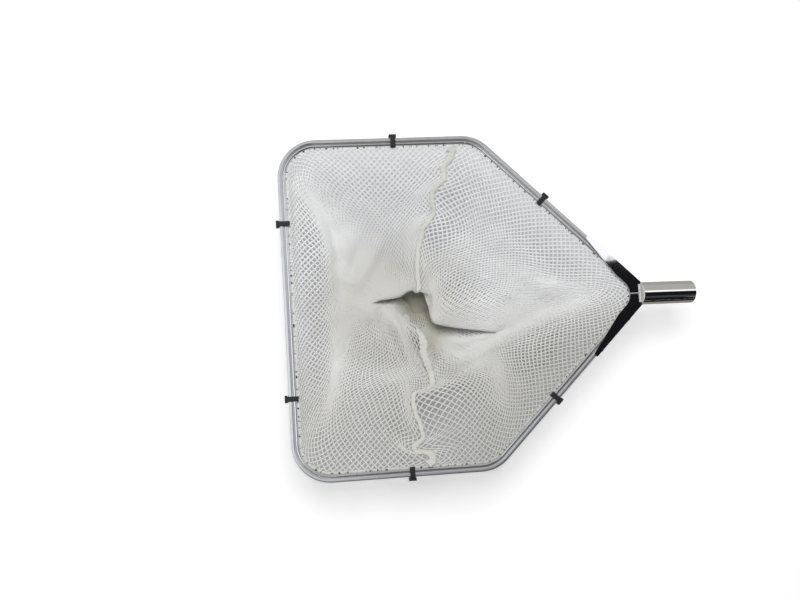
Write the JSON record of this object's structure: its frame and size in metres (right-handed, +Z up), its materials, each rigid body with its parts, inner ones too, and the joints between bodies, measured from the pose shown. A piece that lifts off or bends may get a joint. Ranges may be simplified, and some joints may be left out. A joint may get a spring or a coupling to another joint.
{
  "type": "leaf skimmer net",
  "caption": "Deep-bag leaf net for a pool: house-shaped aluminium frame with a slack white mesh bag, a riveted V yoke and a tubular socket that takes a pole.",
  "frame": {"origin": "on the surface that the net lies on, under the middle of its bounding box", "axes": "+X from the straight front bar to the pole socket, +Y to the right as seen by someone who holds the pole, +Z up out of the bag's mouth"},
  "size_m": [0.6566, 0.5308, 0.1324],
  "materials": {
    "frame_aluminium": "satin",
    "polished_steel": "polished",
    "weld_metal": "satin",
    "rivet_aluminium": "satin",
    "tie_black": "matte",
    "net_white": "matte",
    "seam_binding": "matte",
    "hem_white": "matte"
  },
  "bodies": {
    "root": {"frame_tube": "frame_aluminium", "yoke_arm_right": "polished_steel", "yoke_arm_left": "polished_steel", "yoke_apex_weld": "weld_metal", "handle_socket": "polished_steel", "socket_end_plate": "polished_steel", "socket_weld_beads": "weld_metal", "net_panel_front": "net_white", "net_panel_rear": "net_white", "seam_tape": "seam_binding", "hem_tape": "hem_white", "hem_cord": "hem_white", "rivet_right_outer": "rivet_aluminium", "rivet_right_inner": "rivet_aluminium", "tie_side_right": "tie_black", "tie_front_right": "tie_black", "tie_taper_right": "tie_black", "rivet_left_outer": "rivet_aluminium", "rivet_left_inner": "rivet_aluminium", "tie_side_left": "tie_black", "tie_front_left": "tie_black", "tie_taper_left": "tie_black"}
  },
  "joints": []
}
